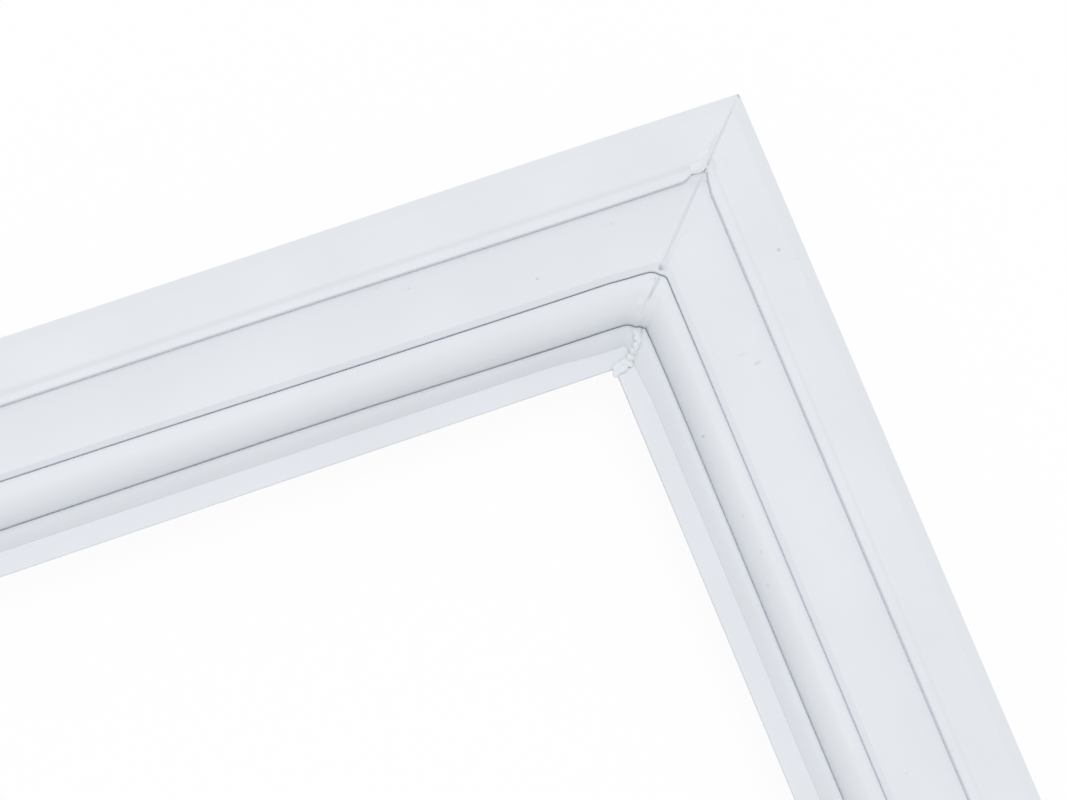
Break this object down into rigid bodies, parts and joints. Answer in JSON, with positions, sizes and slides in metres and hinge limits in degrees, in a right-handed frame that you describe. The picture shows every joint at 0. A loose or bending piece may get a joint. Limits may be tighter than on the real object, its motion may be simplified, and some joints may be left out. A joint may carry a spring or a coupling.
{
  "type": "refrigerator door gasket",
  "caption": "Rectangular door seal: a mitre-welded hollow soft PVC frame with a front magnet pocket, an inner bellows roll, a thin lip and a push-in dart along the back.",
  "frame": {"origin": "centre of the frame's outline, at the height of the dart's tip, which is the surface that the gasket lies on", "axes": "+Z from the dart towards the sealing face that meets the cabinet, +Y along the long legs, +X along the short legs"},
  "size_m": [0.52, 0.7, 0.0187],
  "materials": {
    "white_pvc": "soft extruded PVC, smooth with a low sheen, slightly bluish white",
    "ferrite_strip": "flexible magnet strip, dark brown and matt"
  },
  "bodies": {
    "root": {"gasket_profile": "white_pvc", "magnet_strip_top": "ferrite_strip", "magnet_strip_left": "ferrite_strip", "magnet_strip_bottom": "ferrite_strip", "magnet_strip_right": "ferrite_strip"}
  },
  "joints": []
}
